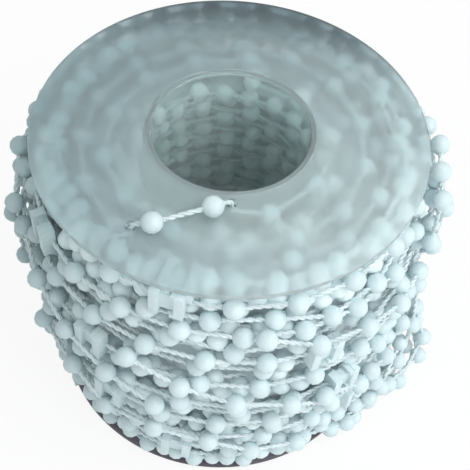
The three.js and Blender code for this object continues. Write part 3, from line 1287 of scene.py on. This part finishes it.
    def second_stops(self) -> list[Stop]:
        """Stops of the turns that lie in the valleys between the outer ones."""
        winding = self.winding
        rng = random.Random(self.second_seed)
        height, cycles, phase = self.second_wave
        radius_spread, height_spread = self.second_spread
        stops = []
        turn = 2 * math.pi
        angle = self.second_start
        while angle < winding.full_angle - turn:
            z = (winding.turn_height(angle) + winding.turn_height(angle + turn)) / 2
            z += height * math.sin(cycles * angle + phase)
            depth = self.second_depth + (self.clip_sink if winding.beside_clip(angle) else 0.0)
            radius = winding.radius(z) - depth - self.second_inset
            radius += rng.uniform(-radius_spread, radius_spread)
            azimuth = winding.start_azimuth + math.degrees(angle)
            z += rng.uniform(-height_spread, height_spread)
            stops.append(bead_stop(azimuth, radius, z, self.second_depth))
            angle += winding.chain.pitch / radius
        return stops

    def crossing_stops(self, turns: float, sweeps: int, depth: float) -> list[Stop]:
        """Stops of deeper turns, wound the other way at a steeper pitch.

        Args:
            turns: Turns round the spool.
            sweeps: Times that they run from flange to flange.
            depth: How far below the outer turns they settle.

        Returns:
            The stops.
        """
        winding = self.winding
        stops = []
        low = winding.bottom - self.crossing_margin
        high = winding.top + self.crossing_margin
        height, cycles = self.crossing_wave
        angle = 0.0
        while angle < 2 * math.pi * turns:
            share = angle / (2 * math.pi * turns)
            sweep = math.sin(share * math.pi * sweeps - math.pi / 2)
            z = (low + high) / 2 + (high - low) / 2 * sweep
            z += height * math.sin(cycles * angle)
            z = min(high, max(low, z))
            radius = winding.radius(z) - depth - self.crossing_inset
            azimuth = self.sweep_azimuth * sweeps - math.degrees(angle)
            stops.append(bead_stop(azimuth, radius, z, depth))
            angle += winding.chain.pitch / radius
        return stops

    def end_stops(self, level: float, radii: Sequence[float], seed: int) -> list[Stop]:
        """Stops of the turns that lie against a flange, as one spiral.

        Args:
            level: Height of the turns.
            radii: Inner and outer radius of the spiral.
            seed: Seed of its unevenness.

        Returns:
            The stops.
        """
        rng = random.Random(seed)
        (slow, slow_cycles), (fast, fast_cycles) = self.spiral_waves
        inner, outer = radii
        stops, angle = [], rng.uniform(0, 6)
        radius = inner
        start = angle
        while radius < outer:
            wobble = slow * math.sin(slow_cycles * angle + seed)
            wobble += fast * math.sin(fast_cycles * angle)
            z = level - abs(rng.gauss(0, self.spiral_sag))
            depth = self.winding.radius(level) - radius
            stops.append(bead_stop(math.degrees(angle), radius + wobble, z, depth))
            angle += self.winding.chain.pitch / radius
            radius = inner + self.spiral_pitch * (angle - start) / (2 * math.pi)
        return stops

    def core_stops(self, lift: float, start: float, rise: float) -> list[Stop]:
        """Stops of the first turns, on the core tube.

        Args:
            lift: How far they lie off the tube.
            start: Height of the first turn.
            rise: Height from one turn to the next.

        Returns:
            The stops.
        """
        winding = self.winding
        radius = winding.spool.tube_radius + winding.chain.bead_radius + lift
        stops, angle = [], 0.0
        slope = rise / (2 * math.pi)
        height, cycles = self.core_wave
        while start + slope * angle < self.core_top:
            z = start + slope * angle + height * math.sin(cycles * angle)
            depth = winding.radius(z) - radius
            stops.append(bead_stop(math.degrees(angle), radius, z, depth))
            angle += winding.chain.pitch / radius
        return stops

    def over_stops(self, run: tuple[float, float, float, float]) -> list[Stop]:
        """Stops of a stretch that crosses over the outer turns.

        Args:
            run: Azimuth and height where it starts, and where it ends.

        Returns:
            The stops.
        """
        winding = self.winding
        from_azimuth, from_z, to_azimuth, to_z = run
        arc = math.radians(to_azimuth - from_azimuth) * winding.spool.flange_radius
        count = round(math.hypot(arc, to_z - from_z) / winding.chain.pitch)
        stops = []
        for index in range(count + 1):
            share = index / count
            z = from_z + (to_z - from_z) * share
            azimuth = from_azimuth + (to_azimuth - from_azimuth) * share
            radius = winding.radius(z) - self.over_depth
            stops.append(bead_stop(azimuth, radius, z, self.over_depth))
        return stops

    def filling_stops(self, spots: Sequence[tuple[float, float, float]]) -> list[Stop]:
        """Stops of slack chain that lies inside the loops.

        Args:
            spots: Azimuth, radius and height of each bead.

        Returns:
            The stops.
        """
        return [bead_stop(a, r, z, self.winding.radius(z) - r) for a, r, z in spots]

    def _depth_of(self, kind: StopKind, radius: float, z: float) -> float | None:
        """Depth of a covered stop; the clip stays put."""
        return None if kind is StopKind.CLIP else self.winding.radius(z) - radius

    def covered_stops(self) -> list[Stop]:
        """Stops of the run with a clip that shows through the upper flange."""
        return [
            Stop(kind, around(a, r, z), self._depth_of(kind, r, z))
            for kind, a, r, z in self.covered_run
        ]

    def loop_strands(self) -> list[list[Stop]]:
        """Stops of each slack loop."""
        spool = self.winding.spool
        strands = []
        for loop in self.loops:
            points = [around(a, spool.flange_radius + r, spool.height * s) for a, r, s in loop]
            ends = (0, len(points) - 1)
            strands.append([
                Stop(StopKind.BEND if index in ends else StopKind.BEAD, point)
                for index, point in enumerate(points)
            ])
        return strands

    def _packed_body(self) -> bpy.types.Object:
        """Makes the body of the turns that are out of sight."""
        winding = self.winding
        inner = winding.spool.tube_radius + self.packed_inset
        low, high = self.packed_span
        rows = self.packed_rows
        section = [(inner, low)]
        for row in range(rows + 1):
            z = low + (high - low) * row / rows
            section.append((winding.radius(z) - self.packed_depth, z))
        section.append((inner, high))
        return Workbench.turned("packed_turns", section, self.packed_sides)

    def _finish(
        self, piece: bpy.types.Object, material: bpy.types.Material,
        replaced: Sequence[str] = (),
    ) -> None:
        """Smooths and dresses a piece."""
        Workbench.smooth(piece)
        dress(piece, material, self.slot, replaced)

    def build(
        self, shown: tuple[bpy.types.Material, bpy.types.Material],
        inner: tuple[bpy.types.Material, bpy.types.Material],
        core: tuple[bpy.types.Material, bpy.types.Material],
        packed: bpy.types.Material,
    ) -> None:
        """Builds and dresses all the chain.

        Args:
            shown: Finish of the beads and of the cord where they lie outside.
            inner: The same, in a lighter white, for the turns further in; the lighter white is
                painted light in place of the shade they lie in.
            core: The same, lighter still, for the first turns, seen through the core's wall; painted
                light in the bore.
            packed: Finish of the body behind the turns, with painted light and painted shade in its
                colour.
        """
        winding = self.winding
        chain = winding.chain
        under, over = winding.spool.underside, winding.spool.flange_thickness
        clearance = chain.bead_radius + self.flange_gap
        upper, deeper = under - clearance - self.upper_gap, under - self.deeper_reach
        lower = over + clearance + self.lower_gap
        runs = [
            ("outer_turns", self.outer_stops(), 1),
            ("second_turns", self.second_stops(), 2),
            ("crossing_turns", self.crossing_stops(turns=8.0, sweeps=7, depth=2.4), 3),
            ("deep_turns", self.crossing_stops(turns=9.5, sweeps=4, depth=3.6), 8),
            ("level_turns", self.crossing_stops(turns=9.0, sweeps=2, depth=2.8), 10),
            ("upper_turns", self.end_stops(upper, radii=(25.4, 37.5), seed=4), 4),
            ("upper_turns_deep", self.end_stops(deeper, radii=(24.5, 37.5), seed=9), 5),
            ("lower_turns", self.end_stops(lower, radii=(26.0, 41.6), seed=6), 6),
            ("core_turns", self.core_stops(lift=0.15, start=5.0, rise=2.7), 7),
            ("core_turns_second", self.core_stops(lift=2.2, start=7.4, rise=4.8), 9),
            ("covered_run", self.covered_stops(), 11),
        ]
        for group, members, seed in (
            ("slack_loop", self.loop_strands(), 20),
            ("slack_filling", map(self.filling_stops, self.fillings), 30),
            ("over_turns", map(self.over_stops, self.over_runs), 50),
        ):
            runs += [(f"{group}_{n}", stops, seed + n) for n, stops in enumerate(members, 1)]
        strands = [Strand(name, stops, chain, seed) for name, stops, seed in runs]
        Settling(winding).settle(strands)
        bead = Bead(chain.bead_radius).pattern()
        finishes = {
            **dict.fromkeys(self.inner_strands, inner),
            **dict.fromkeys(self.core_strands, core),
        }
        for strand in strands:
            piece = bead.copies(f"{strand.name}_beads", strand.bead_places())
            replaced = ["wound_chain"] if strand.name == "outer_turns" else []
            beads, cords = finishes.get(strand.name, shown)
            dress(piece, beads, self.slot, replaced)
            dress(strand.cord(), cords, self.slot)
        clip = Clip().pattern()
        for number, place in enumerate(strands[0].clip_places(), 1):
            piece = clip.copies(f"chain_clip_{number:02d}", [place])
            self._finish(piece, shown[0], [f"clip_{number:02d}"])
        covered = next(strand for strand in strands if strand.name == "covered_run")
        self._finish(clip.copies("covered_clip", covered.clip_places(UP)), shown[0])
        self._finish(self._packed_body(), packed)


@dataclass(frozen=True)
class Camera:
    """The photograph's point of view, found from the flanges' outlines."""

    focal_pixels: float = 889.03
    image_pixels: float = 470.0
    distance: float = 189.71
    elevation: float = 46.036
    pan: float = -0.685
    tilt: float = -6.834
    roll: float = 3.685
    aim_height: float = 80.0

    def build(self) -> None:
        """Adds the camera."""
        elevation = math.radians(self.elevation)
        eye = Vector((0.0, -math.cos(elevation), math.sin(elevation))) * self.distance
        forward = -eye.normalized()
        right = Vector((1.0, 0.0, 0.0))
        up = right.cross(forward)
        pan = Matrix.Rotation(math.radians(self.pan), 3, up)
        forward, right = pan @ forward, pan @ right
        tilt = Matrix.Rotation(math.radians(self.tilt), 3, right)
        forward, up = tilt @ forward, tilt @ up
        turn = math.radians(self.roll)
        side = math.cos(turn) * right + math.sin(turn) * up
        top = -math.sin(turn) * right + math.cos(turn) * up
        data = bpy.data.cameras.new("camera")
        data.sensor_width = 36.0
        data.lens = self.focal_pixels / self.image_pixels * data.sensor_width
        data.clip_start = 0.01
        holder = link("camera", data)
        axes = Matrix((side, top, -forward)).transposed().to_4x4()
        place = (eye + Vector((0.0, 0.0, self.aim_height))) * MM
        holder.matrix_world = Matrix.Translation(place) @ axes
        bpy.context.scene.camera = holder


@dataclass(frozen=True)
class Lamp:
    """One soft studio lamp aimed at the spool."""

    name: str
    azimuth: float
    elevation: float
    distance: float
    size: float
    watts: float
    colour: Rgb = (0.98, 1.0, 1.0)
    aim_height: float = 0.04

    def build(self) -> None:
        """Adds the lamp."""
        data = bpy.data.lights.new(self.name, "AREA")
        data.size = self.size
        data.energy = self.watts
        data.color = self.colour
        elevation = math.radians(self.elevation)
        away = Vector(around(self.azimuth, math.cos(elevation), math.sin(elevation)))
        place = Vector((0.0, 0.0, self.aim_height)) + away * self.distance
        turn = (-away).to_track_quat("-Z", "Y").to_matrix().to_4x4()
        link(self.name, data).matrix_world = Matrix.Translation(place) @ turn


@dataclass(frozen=True)
class Studio:
    """Pale floor, white surround and soft lamps."""

    sky: float = 0.66
    sky_colour: Rgb = (0.97, 1.0, 1.0)
    floor_half: float = 3.0
    floor_drop: float = 0.0002
    floor_white: float = 0.9
    floor_glow: float = 0.88
    lamps: tuple[Lamp, ...] = (
        Lamp("key", -55.0, 48.0, 0.9, 1.1, 2.1),
        Lamp("side", -40.0, 12.0, 1.0, 0.9, 1.5),
        Lamp("top", -26.0, 55.0, 0.9, 0.5, 2.8),
    )

    @staticmethod
    def _seen(board: Board) -> Signal:
        """One for rays that see the background, nought for rays that light."""
        path = board.add("ShaderNodeLightPath")
        rays = [Signal(board, path.outputs[name]) for name in (
            "Is Camera Ray", "Is Glossy Ray", "Is Transmission Ray")]
        total = rays[0] + rays[1] + rays[2]
        node = board.add("ShaderNodeMath", {"operation": "MINIMUM"}, {0: total, 1: 1.0})
        return Signal(board, node.outputs[0])

    def _world(self) -> None:
        """Sets the surround."""
        world = bpy.data.worlds.new("surround")
        world.use_nodes = True
        board = Board(world.node_tree)
        seen = board.add("ShaderNodeBackground", inputs={"Color": grey(1.0), "Strength": 1.0})
        sky = board.add(
            "ShaderNodeBackground",
            inputs={"Color": (*self.sky_colour, 1.0), "Strength": self.sky},
        )
        board.end_in_mix("ShaderNodeOutputWorld", self._seen(board), sky, seen)
        bpy.context.scene.world = world

    def _floor(self) -> None:
        """Lays the floor."""
        Workbench.clear_selection()
        bpy.ops.mesh.primitive_plane_add(size=2 * self.floor_half, location=(0, 0, -self.floor_drop))
        floor = bpy.context.object
        floor.name = "floor"
        material, board = new_material("floor")
        plain = board.add("ShaderNodeBsdfDiffuse", inputs={"Color": grey(self.floor_white)})
        glow = board.add("ShaderNodeEmission", inputs={"Color": grey(1.0), "Strength": 1.0})
        share = self.floor_glow * self._seen(board)
        board.end_in_mix("ShaderNodeOutputMaterial", share, plain, glow)
        floor.data.materials.append(material)

    def build(self) -> None:
        """Sets up floor, surround, lamps and colour."""
        bpy.context.scene.view_settings.view_transform = "Standard"
        self._world()
        self._floor()
        for lamp in self.lamps:
            lamp.build()


def main() -> None:
    """Builds the scene in order."""
    logging.basicConfig(level=logging.INFO, format="%(name)s %(message)s")
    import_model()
    Camera().build()
    Studio().build()
    # The chain's finishes darken away from the lamps at the front right: painted shade.
    beads = MouldedFinish(
        "chain_white", (0.68, 0.80, 0.83), (0.61, 0.73, 0.76),
        PaintedShade((0.37, 0.47, 0.49), start=0.050, width=0.045),
    ).build()
    cords = CordFinish(
        "cord_white", (0.82, 0.91, 0.93), (0.46, 0.56, 0.59),
        PaintedShade((0.48, 0.57, 0.59), start=0.050, width=0.045),
    ).build()
    # The inner and core finishes are lighter copies of the white: painted light in the deep turns
    # and in the bore.
    inner_beads_painted_light = MouldedFinish(
        "inner_white_painted_light", (0.80, 0.91, 0.93), (0.74, 0.86, 0.88), PaintedShade((0.56, 0.67, 0.69)),
    ).build()
    inner_cords_painted_light = CordFinish(
        "inner_cord_white_painted_light", (0.90, 0.97, 0.98), (0.64, 0.74, 0.77), PaintedShade((0.64, 0.74, 0.76)),
    ).build()
    core_beads_painted_light = MouldedFinish(
        "core_white_painted_light", (0.92, 0.99, 0.99), (0.84, 0.93, 0.93), PaintedShade((0.86, 0.95, 0.95)),
    ).build()
    # The packed body is lighter than the outer beads and darker between its cells: painted light in
    # the gaps and painted shade between the beads.
    packed = PackedFinish(
        "packed_white", (0.90, 0.97, 0.99), (0.72, 0.81, 0.84), PaintedShade((0.44, 0.52, 0.54)),
    ).build()
    clear = FrostedFinish(
        "frosted_clear", (0.92, 0.99, 0.995), (0.86, 0.95, 0.96),
        transmission=0.82, roughness=0.30,
        painted_shades=(
            # Painted shade: the flange darkens towards its left, away from the lamps.
            PaintedShade((0.61, 0.74, 0.77)),
            # Painted shade: the far rim darkens, standing in for the dark seen through it.
            PaintedShade((0.155, 0.235, 0.268), line=(-0.004, -0.040), start=0.0690, width=0.0125),
        ),
    ).build()
    hazy = FrostedFinish(
        "frosted_core", (0.91, 1.0, 1.0), (0.86, 0.99, 0.985),
        transmission=0.765, roughness=0.12,
    ).build()
    # The lower flange's dark tint is painted shade, standing in for the shade under the spool.
    shade_dark = FrostedFinish(
        "frosted_shade_dark", (0.20, 0.19, 0.22), (0.10, 0.09, 0.12),
        transmission=0.6, roughness=0.3,
    ).build()
    winding = Winding(SpoolSizes(), ChainSizes())
    Spool(winding.spool).build(clear, hazy, shade_dark)
    WoundChain(winding).build(
        (beads, cords), (inner_beads_painted_light, inner_cords_painted_light), (core_beads_painted_light, inner_cords_painted_light), packed,
    )


if __name__ == "__main__":
    main()
